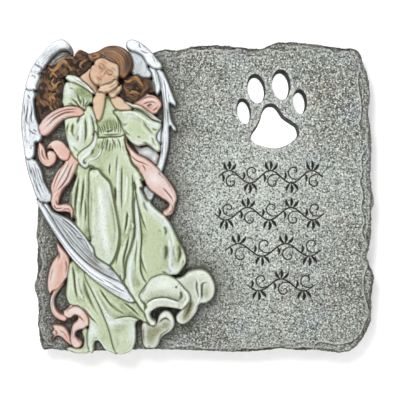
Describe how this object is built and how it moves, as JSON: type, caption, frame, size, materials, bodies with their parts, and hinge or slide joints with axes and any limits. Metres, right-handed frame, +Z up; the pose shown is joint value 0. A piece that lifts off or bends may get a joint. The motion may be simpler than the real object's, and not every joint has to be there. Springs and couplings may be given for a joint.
{
  "type": "memorial plaque",
  "caption": "Rough-edged stone-look wall plaque with a paw print cut through it and a painted sleeping winged figure in relief down one side; hangs from a pocket in its back.",
  "frame": {"origin": "middle of the plaque's flat back face, where it lies against the wall", "axes": "+X to the viewer's right along the plaque's longer side, +Y from the front into the wall, +Z up"},
  "size_m": [0.2823, 0.0373, 0.2507],
  "materials": {
    "cast_stone": "cast resin with a rough grey stone face, black and white flecks, matt",
    "wing_paint": "off-white paint with a grey wash in the grooves, satin",
    "lining_paint": "grey-brown wash over white paint, matt",
    "hair_paint": "dark brown paint dry-brushed with gold brown, satin",
    "skin_paint": "warm skin-coloured paint with a thin brown wash, satin",
    "gown_paint": "soft green paint rubbed paler on the folds, satin",
    "trim_paint": "cream paint with a dark wash in the grooves, satin",
    "sash_paint": "salmon pink paint rubbed paler on the edges, satin"
  },
  "bodies": {
    "root": {"slab": "cast_stone", "right_hand": "skin_paint", "right_forearm": "skin_paint", "left_hand": "skin_paint", "left_forearm": "skin_paint", "face": "skin_paint", "neck": "skin_paint", "hair_crown": "hair_paint", "collar": "trim_paint", "sash_upper_left": "sash_paint", "left_cuff": "trim_paint", "left_sleeve": "gown_paint", "right_sleeve": "gown_paint", "bodice": "gown_paint", "left_shoulder": "gown_paint", "right_cuff": "trim_paint", "hair_left_upper": "hair_paint", "hair_left_lower": "hair_paint", "hair_right": "hair_paint", "sash_upper_right": "sash_paint", "sash_lower_right": "sash_paint", "sash_curl_inner": "sash_paint", "sash_curl_outer": "sash_paint", "sash_left_tail": "sash_paint", "left_wing_shoulder": "wing_paint", "left_wing_lining": "lining_paint", "left_wing_covert": "wing_paint", "left_wing_secondary": "wing_paint", "left_wing_primary": "wing_paint", "left_wing_flight_edge": "wing_paint", "left_wing_flight": "wing_paint", "right_wing_shoulder": "wing_paint", "right_wing_lining": "lining_paint", "right_wing_secondary": "wing_paint", "right_wing_primary": "wing_paint", "right_wing_plume": "wing_paint", "right_wing_down": "lining_paint", "right_wing_tip": "wing_paint", "skirt_leg": "gown_paint", "skirt_front": "gown_paint", "skirt_side": "gown_paint", "train_scroll": "trim_paint", "train_tail": "trim_paint", "train_panel": "gown_paint", "train_fold": "gown_paint", "hem_scroll": "trim_paint", "hem_right": "gown_paint", "hem_left": "gown_paint", "sash_leaf": "sash_paint", "sash_loop_upper": "sash_paint", "sash_loop_lower": "sash_paint", "sash_tail_end": "sash_paint", "hem_corner": "gown_paint"}
  },
  "joints": []
}
